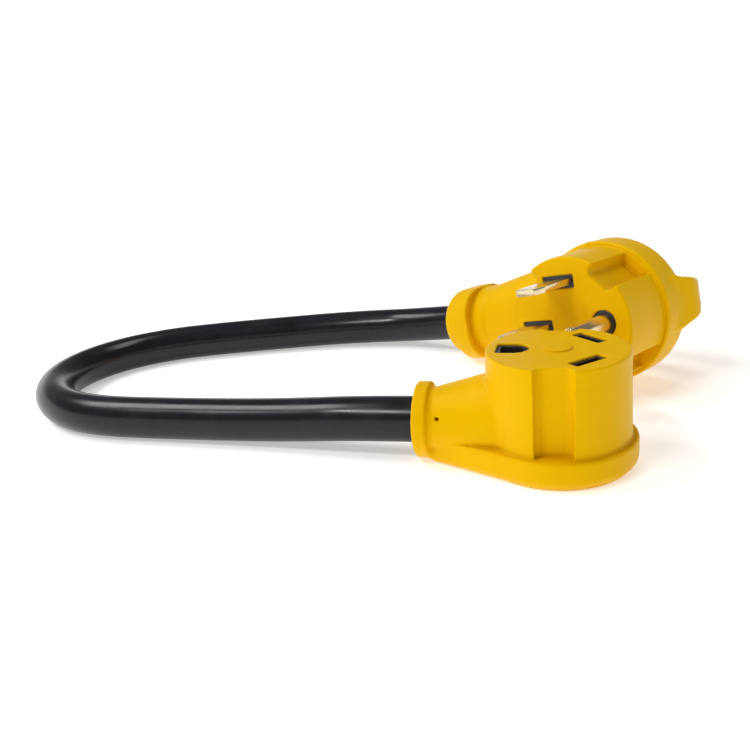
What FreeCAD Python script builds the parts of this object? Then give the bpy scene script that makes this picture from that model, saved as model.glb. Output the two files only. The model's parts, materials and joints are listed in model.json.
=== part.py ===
"""Dogbone power adapter: a 50 A four-blade plug and a 30 A socket on a short three-core cable.

Millimetres, +Z up. The origin is the centre of the socket's flat base, on the surface that the adapter
lies on. The socket's cable leaves it towards -X. The plug lies on its side behind the socket (+Y).
The plug's own frame has its face at z = 0 with the blades towards +z, and its cable leaves along +x.
"""
import FreeCAD, Part
import math
import os

import Sketcher
from FreeCAD import Vector

DIMENSIONS = {
    # cable
    "fit_gap": 0.05,
    "cable_diameter": 16.5,
    "jacket_bore": 11.5,
    "wrap_thickness": 0.2,
    "core_diameter": 5.0,
    "copper_diameter": 3.0,
    "core_offset": 2.95,
    "filler_diameter": 2.2,
    "filler_offset": 4.25,
    # socket moulding
    "socket_base_radius": 26.6,
    "socket_base_height": 10.0,
    "socket_base_end": 8.5,
    "socket_radius": 24.6,
    "socket_height": 39.9,
    "socket_draft_deg": 1.2,
    "socket_axis_height": 13.5,
    "collar_radius": 13.5,
    "collar_start": 43.5,
    "collar_width": 5.0,
    "neck_radius": 11.2,
    "neck_root_radius": 19.5,
    "neck_root_height": 15.5,
    "neck_root_start": 8.0,
    "grip_width": 12.4,
    "grip_depth": 4.6,
    "socket_core_radius": 19.0,
    "socket_core_low": 4.0,
    "socket_core_high": 34.5,
    "chamber_length": 36.0,
    "chamber_width": 26.0,
    "chamber_height": 14.9,
    "chamber_reach": 22.0,
    "contact_chamber_low": 17.2,
    "mouth_depth": 30.0,
    "insert_recess": 0.7,
    "slot_insert_long": 13.0,
    "slot_insert_short": 4.6,
    "slot_long": 9.8,
    "slot_short": 2.2,
    "slot_x": 10.0,
    "slot_y": 12.0,
    "slot_turn_deg": 45.0,
    "ground_slot_x": -14.7,
    "ground_insert_radius": 5.0,
    "ground_hole_radius": 3.5,
    "boss_radius": 4.9,
    "boss_height": 0.7,
    "gate_pin_diameter": 1.3,
    # socket contacts
    "leaf_thickness": 0.8,
    "leaf_gap": 1.5,
    "leaf_low": 20.2,
    "leaf_high": 36.5,
    "strip_width": 3.0,
    "crimp_outer_radius": 2.4,
    "crimp_length": 7.0,
    # plug moulding
    "plug_radius": 27.3,
    "plug_front_depth": 25.0,
    "plug_rim_radius": 29.2,
    "plug_rim_end": 39.0,
    "plug_back": 44.5,
    "plug_grip_width": 12.6,
    "plug_grip_depth": 5.2,
    "plug_axis_depth": 26.0,
    "barrel_radius": 15.6,
    "barrel_start": 56.0,
    "barrel_end": 77.0,
    "jacket_start": 60.0,
    "plug_neck_half": 26.0,
    "plug_neck_half_depth": 14.5,
    "plug_neck_start": 8.0,
    "band_start": 59.0,
    "band_width": 8.0,
    "band_half_width": 16.4,
    "band_corner": 13.0,
    "band_half_depth": 18.8,
    "handle_width": 13.0,
    "plug_core_radius": 21.0,
    "plug_core_front": 6.0,
    "plug_core_back": 36.0,
    "carrier_wall": 1.5,
    "wiring_height": 16.0,
    "wiring_mouth": 12.4,
    # plug blades
    "blade_width": 11.6,
    "blade_thickness": 2.4,
    "blade_reach": 21.6,
    "blade_root": 17.5,
    "blade_tip_taper": 5.0,
    "blade_tip_inset": 1.7,
    "hot_offset": 17.46,
    "hot_x": 1.8,
    "neutral_x": 14.6,
    "ground_x": -15.7,
    "ground_diameter": 7.1,
    "ground_reach": 24.6,
    "ground_tip": 3.0,
    "ground_tip_radius": 1.1,
    "ground_shank_radius": 4.3,
    "ground_shank_cover": 4.0,
    "blade_insert_long": 13.8,
    "blade_insert_short": 5.0,
    "ground_insert_diameter": 10.2,
    "tail_width": 3.6,
    "tail_thickness": 1.6,
    # where the plug lies
    "plug_x": 1.1,
    "plug_y": 56.9,
    "plug_z": 30.66,
    "plug_yaw": 149.5,
    "plug_dip": 11.2,
    "plug_roll": -88.5,
}

# The cable's route from inside the plug's barrel to inside the socket's collar. The cable lies on the
# surface between the two ends, in one open U, and each end points straight out of its moulding.
ROUTE = [
    (-36.31, 109.10, 18.34),
    (-70.12, 129.01, 10.57),
    (-111.0, 130.3, 8.8),
    (-145.5, 122.5, 8.25),
    (-175.5, 113.0, 8.25),
    (-200.0, 103.0, 8.25),
    (-219.0, 86.0, 8.25),
    (-228.5, 63.0, 8.25),
    (-225.5, 38.5, 8.25),
    (-210.0, 18.3, 8.25),
    (-187.0, 7.4, 8.25),
    (-148.0, 6.6, 8.25),
    (-105.0, 4.9, 9.4),
    (-64.0, 0.0, 13.5),
    (-32.5, 0.0, 13.5),
]
PLUG_CRIMPS = {"line": 8.0, "neutral": 16.0, "ground": -4.0}
SOCKET_CRIMPS = {"line": -3.0, "neutral": -3.0, "ground": -11.3}
CORE_ANGLES = {"line": 210.0, "neutral": 330.0, "ground": 90.0}

document = FreeCAD.newDocument("dogbone_adapter")
sheet = document.addObject("Spreadsheet::Sheet", "Dims")


def fill_sheet():
    """Writes each driving dimension as a plain number with an alias."""
    for row, (alias, value) in enumerate(DIMENSIONS.items(), start=1):
        sheet.set(f"A{row}", alias)
        sheet.set(f"B{row}", str(value))
        sheet.setAlias(f"B{row}", alias)
    document.recompute()


def dim(alias):
    """The sheet's value of a dimension, for geometry that an expression can't hold."""
    return float(sheet.get(alias))


def bind(item, **expressions):
    """Binds properties of an object to expressions on the sheet; a double underscore stands for a dot."""
    for name, expression in expressions.items():
        item.setExpression(name.replace("__", "."), expression)


PLUG_PLACE = ("placement(vector(Dims.plug_x; Dims.plug_y; Dims.plug_z);"
              " rotation(Dims.plug_yaw; Dims.plug_dip; Dims.plug_roll))")


def laid_down(name, source):
    """A sub-part made in the plug's own frame, laid where the plug lies."""
    item = document.addObject("Part::Compound", name)
    item.Links = [source]
    item.Label = name
    item.setExpression("Placement", PLUG_PLACE)
    return item


def plug_placement():
    """The plug's place, read from the sheet."""
    turn = FreeCAD.Rotation(dim("plug_yaw"), dim("plug_dip"), dim("plug_roll"))
    return FreeCAD.Placement(Vector(dim("plug_x"), dim("plug_y"), dim("plug_z")), turn)


# ---------------------------------------------------------------- PartDesign helpers

def new_body(name):
    """An empty body whose label names it."""
    item = document.addObject("PartDesign::Body", name)
    item.Label = name
    return item


def new_sketch(owner, name, plane, offset=None):
    """A sketch on one of the body's own origin planes, shifted along its normal by an expression."""
    item = owner.newObject("Sketcher::SketchObject", name)
    support = next(f for f in owner.Origin.OriginFeatures if f.Role == plane)
    item.AttachmentSupport = [(support, "")]
    item.MapMode = "FlatFace"
    if offset:
        item.setExpression("AttachmentOffset.Base.z", offset)
    return item


def add_circle(item, radius, x=None, y=None):
    """A circle whose radius and centre follow expressions; no centre given means the sketch's origin."""
    edge = item.addGeometry(Part.Circle(Vector(1, 1, 0), Vector(0, 0, 1), 5))
    number = item.addConstraint(Sketcher.Constraint("Radius", edge, 5.0))
    item.setExpression(f"Constraints[{number}]", radius)
    for kind, value in (("DistanceX", x), ("DistanceY", y)):
        number = item.addConstraint(Sketcher.Constraint(kind, -1, 1, edge, 3, 1.0))
        item.setExpression(f"Constraints[{number}]", value or "0")
    return edge


def add_outline(item, corners):
    """A closed outline through (x, y, radius) corners, each rounded by an arc of its radius."""
    count = len(corners)
    ends = []
    for index, (x, y, radius) in enumerate(corners):
        here = Vector(x, y, 0)
        before = Vector(*corners[index - 1][:2], 0) - here
        after = Vector(*corners[(index + 1) % count][:2], 0) - here
        before.normalize()
        after.normalize()
        if radius == 0:
            ends.append((here, here))
            continue
        half = before.getAngle(after) / 2
        reach = radius / math.tan(half)
        start, end = here + before * reach, here + after * reach
        middle = here + (before + after).normalize() * (radius / math.sin(half) - radius)
        item.addGeometry(Part.Arc(start, middle, end))
        ends.append((start, end))
    for index in range(count):
        start, end = ends[index][1], ends[(index + 1) % count][0]
        if start.distanceToPoint(end) > 1e-6:
            item.addGeometry(Part.LineSegment(start, end))


def add_pad(owner, profile, name, length, backwards=False, taper=None):
    """A pad along the sketch's normal, or against it, with an optional draft."""
    item = owner.newObject("PartDesign::Pad", name)
    item.Profile = profile
    item.setExpression("Length", length)
    item.Reversed = backwards
    if taper:
        item.setExpression("TaperAngle", taper)
    return item


def add_pocket(owner, profile, name, length, backwards=False):
    """A pocket of a given depth; backwards cuts along the sketch's normal instead of against it."""
    item = owner.newObject("PartDesign::Pocket", name)
    item.Profile = profile
    item.setExpression("Length", length)
    item.Reversed = backwards
    return item


def add_pattern(owner, feature, name, count):
    """Repeats a feature round the body's Z axis."""
    item = owner.newObject("PartDesign::PolarPattern", name)
    item.Originals = [feature]
    axis = next(f for f in owner.Origin.OriginFeatures if f.Role == "Z_Axis")
    item.Axis = (axis, [""])
    item.Angle = 360
    item.Occurrences = count
    owner.Tip = item
    return item


# ---------------------------------------------------------------- Part helpers

def add_box(name, size, low):
    """A block of (x, y, z) size expressions from a low corner of expressions."""
    item = document.addObject("Part::Box", name)
    bind(item, Length=size[0], Width=size[1], Height=size[2],
         Placement__Base__x=low[0], Placement__Base__y=low[1], Placement__Base__z=low[2])
    return item


def add_turned_box(name, size, centre, low, turn):
    """A block centred on (x, y), standing on a low level and turned about Z."""
    item = document.addObject("Part::Box", name)
    bind(item, Length=size[0], Width=size[1], Height=size[2])
    item.setExpression(
        "Placement",
        f"placement(vector({centre[0]}; {centre[1]}; {low}); rotation({turn}; 0; 0))"
        f" * placement(vector(-({size[0]}) / 2; -({size[1]}) / 2; 0); rotation(0; 0; 0))")
    return item


def add_cylinder(name, radius, height, base, along_x=False):
    """A cylinder from a base point of expressions, along +Z or +X."""
    item = document.addObject("Part::Cylinder", name)
    bind(item, Radius=radius, Height=height)
    tilt = "90" if along_x else "0"
    item.setExpression(
        "Placement", f"placement(vector({base[0]}; {base[1]}; {base[2]}); rotation(0; {tilt}; 0))")
    return item


def fused(name, pieces):
    """The pieces joined into one solid."""
    item = document.addObject("Part::MultiFuse", name)
    item.Shapes = pieces
    return item


def cut(name, base, tool):
    """A base with a tool taken out of it."""
    item = document.addObject("Part::Cut", name)
    item.Base = base
    item.Tool = tool
    item.Label = name
    return item


# ---------------------------------------------------------------- socket end

def socket_insert_blocks(prefix, low, high, clear="0"):
    """The three inserts that reach the socket's face: two turned blocks and the rounded ground block."""
    pieces = []
    size = (f"Dims.slot_insert_long + {clear}", f"Dims.slot_insert_short + {clear}", f"{high} - ({low})")
    for side, turn in (("1", "-Dims.slot_turn_deg"), ("-1", "Dims.slot_turn_deg")):
        centre = ("Dims.slot_x", f"{side} * Dims.slot_y")
        name = prefix + ("_far" if side == "1" else "_near")
        pieces.append(add_turned_box(name, size, centre, low, turn))
    radius = f"Dims.ground_insert_radius + {clear} / 2"
    pieces.append(add_cylinder(prefix + "_round", radius, size[2], ("Dims.ground_slot_x + 0.5", "0", low)))
    pieces.append(add_box(prefix + "_flat", (f"Dims.ground_insert_radius + 1 + {clear} / 2",
                                             f"2 * ({radius})", size[2]),
                          (f"Dims.ground_slot_x - 0.5 - Dims.ground_insert_radius - {clear} / 2",
                           f"-({radius})", low)))
    return pieces


def socket_carrier():
    """The black carrier inside the socket, with a chamber for each contact and one for the wiring."""
    top = "(Dims.socket_height - Dims.insert_recess)"
    drum = add_cylinder("carrier_drum", "Dims.socket_core_radius",
                        "Dims.socket_core_high - Dims.socket_core_low", ("0", "0", "Dims.socket_core_low"))
    solid = fused("carrier_solid", [drum] + socket_insert_blocks("carrier_insert", "Dims.socket_core_low + 1",
                                                                 top))
    hollows = [add_box("wiring_chamber", ("Dims.chamber_length", "Dims.chamber_width", "Dims.chamber_height"),
                       ("-Dims.chamber_reach", "-Dims.chamber_width / 2", "Dims.socket_core_low + 1.5"))]
    for side, turn, name in (("1", "-Dims.slot_turn_deg", "far"), ("-1", "Dims.slot_turn_deg", "near")):
        centre = ("Dims.slot_x", f"{side} * Dims.slot_y")
        hollows.append(add_turned_box(
            "mouth_" + name, ("Dims.slot_long", "Dims.slot_short", "Dims.mouth_depth"), centre,
            "Dims.leaf_low", turn))
        hollows.append(add_turned_box(
            "chamber_" + name, ("Dims.slot_long + 0.8", "Dims.leaf_gap + 2 * Dims.leaf_thickness + 0.2",
                                "Dims.leaf_high + 0.3 - Dims.contact_chamber_low"),
            centre, "Dims.contact_chamber_low", turn))
    hollows.append(add_cylinder("ground_mouth", "Dims.ground_hole_radius", "Dims.mouth_depth",
                                ("Dims.ground_slot_x + 0.5", "0", "Dims.contact_chamber_low")))
    hollows.append(add_box("ground_mouth_flat",
                           ("Dims.ground_hole_radius + 1", "2 * Dims.ground_hole_radius", "Dims.mouth_depth"),
                           ("Dims.ground_slot_x - 0.5 - Dims.ground_hole_radius", "-Dims.ground_hole_radius",
                            "Dims.contact_chamber_low")))
    hollows.append(add_cylinder("ground_chamber", "Dims.ground_hole_radius + Dims.leaf_thickness + 0.1",
                                "Dims.leaf_high + 0.3 - Dims.contact_chamber_low",
                                ("Dims.ground_slot_x", "0", "Dims.contact_chamber_low")))
    return solid, cut("socket_contact_carrier", solid, fused("carrier_hollows", hollows))


def socket_neck(owner):
    """The neck: a loft from the ring beside the collar up into the side of the drum."""
    small = new_sketch(owner, "neck_end", "YZ_Plane", "-Dims.collar_start")
    add_circle(small, "Dims.neck_radius", "0", "Dims.socket_axis_height")
    large = new_sketch(owner, "neck_root", "YZ_Plane", "-Dims.neck_root_start")
    add_circle(large, "Dims.neck_root_radius", "0", "Dims.neck_root_height")
    loft = owner.newObject("PartDesign::AdditiveLoft", "neck")
    loft.Profile = small
    loft.Sections = [large]
    return loft


def socket_base_outline():
    """Corners of the base's outline: a round end, two straight sides and the end at the collar."""
    radius, end, half = dim("socket_base_radius"), dim("collar_start"), dim("socket_base_end")
    reach = math.hypot(end, half)
    lean = math.acos(radius / reach) + math.atan2(half, end)
    touch = Vector(-radius * math.cos(lean), radius * math.sin(lean), 0)
    return radius, Vector(-end, half, 0), touch


def socket_base(owner):
    """The base that the socket rests on, rounded at one end and drawn in to the collar at the other."""
    radius, corner, touch = socket_base_outline()
    item = new_sketch(owner, "base_outline", "XY_Plane")
    mirrored = [Vector(v.x, -v.y, 0) for v in (corner, touch)]
    item.addGeometry(Part.LineSegment(corner, touch))
    item.addGeometry(Part.Arc(touch, Vector(radius, 0, 0), mirrored[1]))
    item.addGeometry(Part.LineSegment(mirrored[1], mirrored[0]))
    item.addGeometry(Part.LineSegment(mirrored[0], corner))
    return add_pad(owner, item, "base", "Dims.socket_base_height")


def socket_grips(owner):
    """The two finger grooves down the sides of the drum, from the face to the base."""
    reach, depth, half = dim("socket_radius"), dim("grip_depth"), dim("grip_width") / 2
    item = new_sketch(owner, "grip_outline", "XY_Plane", "Dims.socket_base_height")
    bottom = reach - depth
    add_outline(item, [(-half, -bottom, 2.2), (half, -bottom, 2.2), (half, -reach - 4, 0),
                       (-half, -reach - 4, 0)])
    add_pocket(owner, item, "grip", "Dims.socket_height", backwards=True)
    return add_pattern(owner, owner.Tip, "grips", 2)


def socket_moulding(carrier):
    """The yellow moulding round the carrier and the cable's end."""
    shell = new_body("socket_shell")
    drum = new_sketch(shell, "drum_outline", "XY_Plane")
    add_circle(drum, "Dims.socket_radius")
    add_pad(shell, drum, "drum", "Dims.socket_height", taper="-Dims.socket_draft_deg")
    socket_grips(shell)
    socket_base(shell)
    socket_neck(shell)
    collar = new_sketch(shell, "collar_outline", "YZ_Plane", "-Dims.collar_start")
    add_circle(collar, "Dims.collar_radius", "0", "Dims.socket_axis_height")
    add_pad(shell, collar, "collar", "Dims.collar_width", backwards=True)
    boss = new_sketch(shell, "boss_outline", "XY_Plane", "Dims.socket_height")
    add_circle(boss, "Dims.boss_radius")
    add_pad(shell, boss, "boss", "Dims.boss_height")
    foot = add_box("below_floor", ("200", "200", "50"), ("-150", "-100", "-50"))
    jacket_end = str(-ROUTE[-1][0])
    bore = add_cylinder("cable_bore", "Dims.cable_diameter / 2 + Dims.fit_gap",
                        f"Dims.collar_start + Dims.collar_width + 1 - {jacket_end}",
                        ("-Dims.collar_start - Dims.collar_width - 1", "0", "Dims.socket_axis_height"), True)
    wires = add_cylinder("core_bore", "Dims.jacket_bore / 2", f"{jacket_end} - 10",
                         (f"-{jacket_end}", "0", "Dims.socket_axis_height"), True)
    pin = document.addObject("Part::Cylinder", "holding_pin_hole")
    bind(pin, Radius="Dims.gate_pin_diameter / 2", Height="40")
    pin.setExpression("Placement", "placement(vector(-Dims.collar_start + 4; -20; Dims.socket_axis_height"
                                   " + 4.5); rotation(0; 0; -90))")
    inserts = socket_insert_blocks("face_window", "Dims.socket_core_high - 1", "Dims.socket_height + 5")
    tools = fused("socket_hollows", [foot, bore, wires, pin, carrier] + inserts)
    return cut("socket_overmould", shell, tools)


def socket_blade_contact(name, side, turn, crimp):
    """A folded contact: two leaves on a web, a strip to the cable and a crimp round the copper."""
    centre = ("Dims.slot_x", f"{side} * Dims.slot_y")
    height = "Dims.leaf_high - Dims.leaf_low"
    web = add_turned_box(name + "_web", ("Dims.slot_long", "Dims.leaf_gap + 2 * Dims.leaf_thickness",
                                         "Dims.leaf_thickness"), centre, "Dims.leaf_low", turn)
    pieces = [web]
    for offset in ("1", "-1"):
        leaf = document.addObject("Part::Box", f"{name}_leaf_{'a' if offset == '1' else 'b'}")
        bind(leaf, Length="Dims.slot_long", Width="Dims.leaf_thickness", Height=height)
        leaf.setExpression(
            "Placement",
            f"placement(vector({centre[0]}; {centre[1]}; Dims.leaf_low); rotation({turn}; 0; 0))"
            f" * placement(vector(-Dims.slot_long / 2; {offset} * (Dims.leaf_gap + Dims.leaf_thickness) / 2"
            " - Dims.leaf_thickness / 2; 0); rotation(0; 0; 0))")
        pieces.append(leaf)
    x, y, z = crimp
    strip = f"Dims.slot_x - ({x}) + 1"
    pieces.append(add_box(name + "_strip", (strip, "Dims.strip_width", "Dims.leaf_thickness"),
                          (f"{x}", f"{y} - Dims.strip_width / 2", "Dims.leaf_low - Dims.leaf_thickness")))
    low_y = f"min({y}; {side} * Dims.slot_y) - 0.8"
    pieces.append(add_box(name + "_arm", ("Dims.strip_width", f"abs({side} * Dims.slot_y - ({y})) + 1.6",
                                          "Dims.leaf_thickness"),
                          ("Dims.slot_x - Dims.strip_width / 2", low_y,
                           "Dims.leaf_low - Dims.leaf_thickness")))
    pieces.append(add_box(name + "_drop", ("Dims.leaf_thickness", "Dims.strip_width",
                                           f"Dims.leaf_low - ({z})"),
                          (f"{x}", f"{y} - Dims.strip_width / 2", f"{z}")))
    pieces.append(crimp_tube(name, crimp))
    return labelled(fused(name + "_body", pieces), name)


def crimp_tube(name, crimp):
    """A crimp barrel whose closed end is at the crimp point and whose mouth faces the cable."""
    x, y, z = crimp
    outer = add_cylinder(name + "_crimp_outer", "Dims.crimp_outer_radius", "Dims.crimp_length",
                         (f"{x} - Dims.crimp_length", f"{y}", f"{z}"), True)
    inner = add_cylinder(name + "_crimp_inner", "Dims.copper_diameter / 2 + Dims.fit_gap",
                         "Dims.crimp_length - 1", (f"{x} - Dims.crimp_length", f"{y}", f"{z}"), True)
    return cut(name + "_crimp", outer, inner)


def labelled(item, name):
    """Gives a finished sub-part the label that names its file."""
    item.Label = name
    return item


def socket_ground_contact(crimp):
    """The ground contact: a sleeve for the round pin, a strip and a crimp."""
    name = "socket_ground_contact"
    x, y, z = crimp
    radius = "(Dims.ground_hole_radius + Dims.leaf_thickness)"
    outer = add_cylinder(name + "_outer", radius, "Dims.leaf_high - Dims.leaf_low",
                         ("Dims.ground_slot_x", "0", "Dims.leaf_low"))
    inner = add_cylinder(name + "_inner", "Dims.ground_hole_radius", "40",
                         ("Dims.ground_slot_x", "0", "Dims.leaf_low + Dims.leaf_thickness"))
    sleeve = cut(name + "_sleeve", outer, inner)
    strip = add_box(name + "_strip", (f"{x} - Dims.ground_slot_x + Dims.leaf_thickness", "Dims.strip_width",
                                      "Dims.leaf_thickness"),
                    ("Dims.ground_slot_x", f"{y} - Dims.strip_width / 2", "Dims.leaf_low"))
    drop = add_box(name + "_drop", ("Dims.leaf_thickness", "Dims.strip_width",
                                    f"Dims.leaf_low + Dims.leaf_thickness - ({z})"),
                   (f"{x}", f"{y} - Dims.strip_width / 2", f"{z}"))
    return labelled(fused(name + "_body", [sleeve, strip, drop, crimp_tube(name, crimp)]), name)


# ---------------------------------------------------------------- plug end (in the plug's own frame)

def plug_head(owner):
    """The round head, turned about the face's axis, with its rim and its domed back."""
    front, rim = dim("plug_radius"), dim("plug_rim_radius")
    depth, rim_end, back = dim("plug_front_depth"), dim("plug_rim_end"), dim("plug_back")
    item = new_sketch(owner, "head_profile", "XZ_Plane")
    add_outline(item, [(0, 0, 0), (front - 0.3, 0, 0.8), (front, -depth, 0), (rim - 0.9, -depth - 0.6, 1.0),
                       (rim, -depth - 4, 3.0), (rim, -rim_end, 3.5), (rim - 8, -back, 9.0), (0, -back, 0)])
    head = owner.newObject("PartDesign::Revolution", "head")
    head.Profile = item
    axis = next(f for f in owner.Origin.OriginFeatures if f.Role == "Z_Axis")
    head.ReferenceAxis = (axis, [""])
    head.Angle = 360
    return head


def plug_grips(owner):
    """The four grooves round the head's front, midway between the face's two centre lines."""
    reach, depth, half = dim("plug_radius"), dim("plug_grip_depth"), dim("plug_grip_width") / 2
    bottom = reach - depth
    turn = FreeCAD.Rotation(Vector(0, 0, 1), 45)
    corners = [(bottom, -half, 2.4), (reach + 4, -half, 0), (reach + 4, half, 0), (bottom, half, 2.4)]
    turned = []
    for x, y, radius in corners:
        place = turn.multVec(Vector(x, y, 0))
        turned.append((place.x, place.y, radius))
    item = new_sketch(owner, "plug_grip_outline", "XY_Plane")
    add_outline(item, turned)
    add_pocket(owner, item, "plug_grip", "Dims.plug_front_depth")
    return add_pattern(owner, owner.Tip, "plug_grips", 4)


def plug_neck(owner):
    """The neck between the head and the barrel, oval at the head and round at the barrel."""
    small = new_sketch(owner, "neck_end", "YZ_Plane", "Dims.barrel_start")
    add_circle(small, "Dims.barrel_radius - 0.5", "0", "-Dims.plug_axis_depth")
    large = new_sketch(owner, "neck_root", "YZ_Plane", "Dims.plug_neck_start")
    centre = Vector(0, -dim("plug_axis_depth"), 0)
    wide, deep = dim("plug_neck_half"), dim("plug_neck_half_depth")
    large.addGeometry(Part.Ellipse(centre + Vector(wide, 0, 0), centre + Vector(0, deep, 0), centre))
    loft = owner.newObject("PartDesign::AdditiveLoft", "neck")
    loft.Profile = large
    loft.Sections = [small]
    return loft


def handle_outline(owner):
    """The pull handle: one flat strap bent into a large and a small finger loop behind the neck."""
    item = new_sketch(owner, "handle_outline", "XZ_Plane")
    add_outline(item, [(-20, -34, 0), (-29.5, -34, 3), (-32, -42, 4), (-24.5, -63.5, 12), (26.5, -63.5, 3),
                       (29.4, -59.6, 0.5), (32.3, -63.5, 3), (53, -63.5, 13), (66.8, -45.5, 9),
                       (66.8, -36, 0)])
    add_outline(item, [(-23.5, -40, 2), (-18.4, -57.2, 9), (26.2, -57.2, 6), (26.2, -40, 0.6)])
    add_outline(item, [(33, -40, 0.6), (33, -57.2, 5), (49.5, -57.2, 11), (60.4, -43, 6), (60.4, -40, 0.6)])
    pad = add_pad(owner, item, "handle", "Dims.handle_width")
    pad.Midplane = True
    return pad


def plug_shell():
    """The outside of the plug's moulding: head, grooves, neck, barrel, band and handle."""
    shell = new_body("plug_shell")
    plug_head(shell)
    plug_grips(shell)
    plug_neck(shell)
    barrel = new_sketch(shell, "barrel_outline", "YZ_Plane", "Dims.barrel_start")
    add_circle(barrel, "Dims.barrel_radius", "0", "-Dims.plug_axis_depth")
    add_pad(shell, barrel, "barrel", "Dims.barrel_end - Dims.barrel_start", taper="-0.8")
    wide, deep, level = dim("band_half_width"), dim("band_half_depth"), -dim("plug_axis_depth")
    corner = dim("band_corner")
    band = new_sketch(shell, "band_outline", "YZ_Plane", "Dims.band_start")
    add_outline(band, [(-wide, level - deep + 3, corner), (wide, level - deep + 3, corner),
                       (wide, level + deep, corner), (-wide, level + deep, corner)])
    add_pad(shell, band, "band", "Dims.band_width")
    handle_outline(shell)
    return shell


def plug_insert_blocks(prefix, low, high):
    """The four inserts that reach the plug's face, one round each blade and pin."""
    size = ("Dims.blade_insert_long", "Dims.blade_insert_short", f"{high} - ({low})")
    pieces = []
    for name, x, y in (("x", "Dims.hot_x", "-Dims.hot_offset"), ("y", "Dims.hot_x", "Dims.hot_offset"),
                       ("neutral", "Dims.neutral_x", "0")):
        corner = (f"{x} - Dims.blade_insert_long / 2", f"{y} - Dims.blade_insert_short / 2", low)
        pieces.append(add_box(f"{prefix}_{name}", size, corner))
    pieces.append(add_cylinder(prefix + "_ground", "Dims.ground_insert_diameter / 2", size[2],
                               ("Dims.ground_x", "0", low)))
    return pieces


def plug_carrier(conductive):
    """The black carrier that holds the blades and covers the joints with the cable."""
    drum = add_cylinder("plug_drum", "Dims.plug_core_radius", "Dims.plug_core_back - Dims.plug_core_front",
                        ("0", "0", "-Dims.plug_core_back"))
    inserts = plug_insert_blocks("plug_insert", "-Dims.plug_core_front - 1", "-Dims.insert_recess")
    solid = fused("plug_carrier_solid", [drum] + inserts)
    chamber = add_cylinder("plug_wiring", "Dims.plug_core_radius - Dims.carrier_wall", "Dims.wiring_height",
                           ("0", "0", "-Dims.plug_core_back + Dims.carrier_wall"))
    mouth = add_box("plug_wiring_mouth", ("Dims.wiring_mouth", "Dims.wiring_mouth", "Dims.wiring_mouth"),
                    ("12", "-Dims.wiring_mouth / 2", "-Dims.plug_axis_depth - Dims.wiring_mouth / 2"))
    hollows = fused("plug_carrier_hollows", [chamber, mouth] + conductive)
    return solid, cut("plug_carrier_body", solid, hollows)


def plug_blade(name, x, y):
    """A flat blade with a tapered tip, as a pad with its corners drawn in."""
    item = new_body(name + "_stock")
    half, reach, root = dim("blade_width") / 2, dim("blade_reach"), dim("blade_root")
    taper, inset = dim("blade_tip_taper"), dim("blade_tip_inset")
    profile = new_sketch(item, "blade_outline", "XZ_Plane", f"-({y})")
    centre = float(x)
    add_outline(profile, [(centre - half, -root, 0), (centre + half, -root, 0),
                          (centre + half, reach - taper, 1.0), (centre + half - inset, reach, 0.6),
                          (centre - half + inset, reach, 0.6), (centre - half, reach - taper, 1.0)])
    pad = add_pad(item, profile, "blade", "Dims.blade_thickness")
    pad.Midplane = True
    return item


def plug_tail(name, x, y, crimp):
    """The strip from a blade's root to its crimp, and the crimp that faces the cable."""
    cx, cy, cz = crimp
    low = "-Dims.blade_root - Dims.tail_thickness"
    across = add_box(name + "_across", ("Dims.tail_width", f"abs({cy} - ({y})) + Dims.tail_width",
                                        "Dims.tail_thickness"),
                     (f"{x} - Dims.tail_width / 2", f"min({cy}; {y}) - Dims.tail_width / 2", low))
    along = add_box(name + "_along", (f"abs({cx} - ({x})) + Dims.tail_width / 2", "Dims.tail_width",
                                      "Dims.tail_thickness"),
                    (f"min({cx}; {x} - Dims.tail_width / 2)", f"{cy} - Dims.tail_width / 2", low))
    drop = add_box(name + "_drop", ("Dims.tail_thickness", "Dims.tail_width", f"-Dims.blade_root - ({cz})"),
                   (f"{cx} - Dims.tail_thickness", f"{cy} - Dims.tail_width / 2", f"{cz}"))
    outer = add_cylinder(name + "_crimp_outer", "Dims.crimp_outer_radius", "Dims.crimp_length",
                         (f"{cx} - Dims.tail_thickness", f"{cy}", f"{cz}"), True)
    inner = add_cylinder(name + "_crimp_inner", "Dims.copper_diameter / 2 + Dims.fit_gap",
                         "Dims.crimp_length", (f"{cx}", f"{cy}", f"{cz}"), True)
    return [along, across, drop, cut(name + "_crimp", outer, inner)]


def plug_conductors(crimps):
    """Three flat blades and the round ground pin; the second hot blade carries no wire."""
    hot_x, hot_y = dim("hot_x"), dim("hot_offset")
    line = [plug_blade("hot_blade_x", hot_x, -hot_y)] + plug_tail("hot_blade_x", "Dims.hot_x",
                                                                "-Dims.hot_offset + 0.8", crimps["line"])
    neutral = [plug_blade("neutral_blade", dim("neutral_x"), 0.0)] + plug_tail(
        "neutral_blade", "Dims.neutral_x", "0", crimps["neutral"])
    shank = add_cylinder("pin_shank", "Dims.ground_shank_radius", "Dims.blade_root - Dims.ground_shank_cover",
                         ("Dims.ground_x", "0", "-Dims.blade_root"))
    pin = add_cylinder("pin_rod", "Dims.ground_diameter / 2",
                       "Dims.ground_reach - Dims.ground_tip + Dims.ground_shank_cover",
                       ("Dims.ground_x", "0", "-Dims.ground_shank_cover"))
    tip = document.addObject("Part::Cone", "pin_tip")
    bind(tip, Radius1="Dims.ground_diameter / 2", Radius2="Dims.ground_tip_radius", Height="Dims.ground_tip",
         Placement__Base__x="Dims.ground_x", Placement__Base__z="Dims.ground_reach - Dims.ground_tip")
    ground = [shank, pin, tip] + plug_tail("ground_pin", "Dims.ground_x", "0", crimps["ground"])
    spare = plug_blade("hot_blade_y", hot_x, hot_y)
    return {
        "hot_blade_x": fused("hot_blade_x_body", line),
        "neutral_blade": fused("neutral_blade_body", neutral),
        "ground_pin": fused("ground_pin_body", ground),
        "hot_blade_y": spare,
    }


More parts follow.
